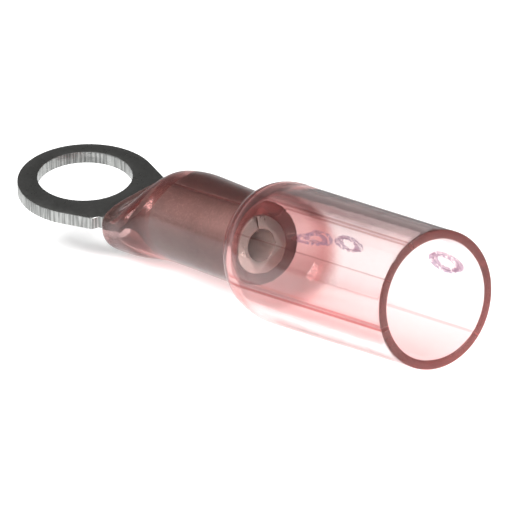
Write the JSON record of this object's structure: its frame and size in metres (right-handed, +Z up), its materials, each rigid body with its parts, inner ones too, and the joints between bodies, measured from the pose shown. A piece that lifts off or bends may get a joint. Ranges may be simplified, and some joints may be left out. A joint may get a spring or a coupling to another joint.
{
  "type": "ring terminal",
  "caption": "Ring terminal with a bent flat tongue, a rolled wire barrel and a clear red heat shrink sleeve, wide and open at the wire end.",
  "frame": {"origin": "centre of the bounding box's base, on the table the terminal lies on", "axes": "+X from the ring towards the wire mouth of the sleeve, +Z up as it lies, with the ring's upper face facing up"},
  "size_m": [0.033, 0.0084, 0.0082],
  "materials": {
    "tinned_copper": "satin",
    "clear_red_sleeve": "gloss, see-through"
  },
  "bodies": {
    "root": {"ring_terminal": "tinned_copper", "heat_shrink_sleeve": "clear_red_sleeve"}
  },
  "joints": []
}
